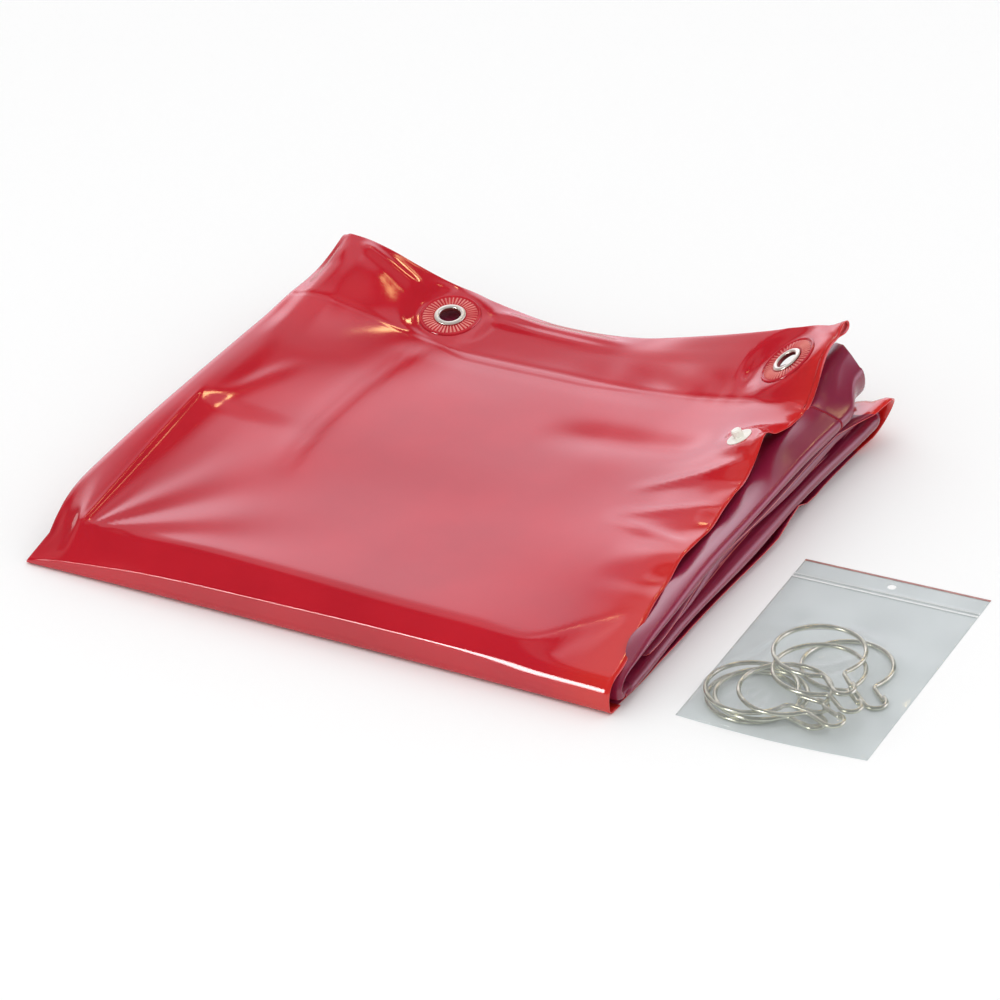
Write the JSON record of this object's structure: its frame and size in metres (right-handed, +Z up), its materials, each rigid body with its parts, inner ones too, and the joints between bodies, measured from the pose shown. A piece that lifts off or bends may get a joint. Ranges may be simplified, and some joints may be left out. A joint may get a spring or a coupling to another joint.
{
  "type": "folded welding curtain",
  "caption": "Translucent red welding curtain folded into a pack, with eyelets in its welded hem, a press stud at its side edge and a grip-seal bag of wire curtain hooks.",
  "frame": {"origin": "on the floor, under the middle of the box round the folded curtain and its bag", "axes": "+X along the front fold towards the bag, +Y towards the back, +Z up"},
  "size_m": [0.4784, 0.318, 0.0759],
  "materials": {
    "curtain_film": "glossy translucent red PVC film",
    "eyelet_disc": "moulded red PVC with radial ribs",
    "eyelet_metal": "bright plated steel",
    "stud_plastic": "white acetal",
    "bag_film": "clear polythene film",
    "zip_plastic": "clear polythene",
    "lip_line": "red printed line",
    "hook_wire": "nickel-plated spring steel wire"
  },
  "bodies": {
    "root": {"curtain_stack": "curtain_film", "curtain_front_fold": "curtain_film"},
    "flap": {"curtain_flap": "curtain_film", "eyelet_disc_1": "eyelet_disc", "eyelet_1": "eyelet_metal", "eyelet_washer_1": "eyelet_metal", "eyelet_disc_2": "eyelet_disc", "eyelet_2": "eyelet_metal", "eyelet_washer_2": "eyelet_metal", "eyelet_disc_3": "eyelet_disc", "eyelet_3": "eyelet_metal", "eyelet_washer_3": "eyelet_metal", "eyelet_disc_4": "eyelet_disc", "eyelet_4": "eyelet_metal", "eyelet_washer_4": "eyelet_metal", "eyelet_disc_5": "eyelet_disc", "eyelet_5": "eyelet_metal", "eyelet_washer_5": "eyelet_metal", "eyelet_disc_6": "eyelet_disc", "eyelet_6": "eyelet_metal", "eyelet_washer_6": "eyelet_metal", "eyelet_disc_7": "eyelet_disc", "eyelet_7": "eyelet_metal", "eyelet_washer_7": "eyelet_metal", "press_stud_post": "stud_plastic", "press_stud_cap": "stud_plastic", "press_stud_socket": "stud_plastic", "press_stud_socket_cap": "stud_plastic"},
    "bag": {"bag_back_film": "bag_film", "bag_front_film": "bag_film", "bag_zip_groove": "zip_plastic", "bag_zip_rib": "zip_plastic", "bag_lip_line": "lip_line", "curtain_hook_1": "hook_wire", "curtain_hook_2": "hook_wire", "curtain_hook_3": "hook_wire", "curtain_hook_4": "hook_wire", "curtain_hook_5": "hook_wire", "curtain_hook_6": "hook_wire", "curtain_hook_7": "hook_wire"}
  },
  "joints": [
    {"name": "flap_fold", "type": "hinge", "parent": "root", "child": "flap", "pos_m": [0, -0.147, 0.012], "axis": [1, 0, 0], "range_deg": [0, 100], "deforming": ["curtain_front_fold"]},
    {"name": "bag_lift", "type": "slide", "parent": "root", "child": "bag", "axis": [0, 0, 1], "range_m": [0, 0.12]}
  ]
}
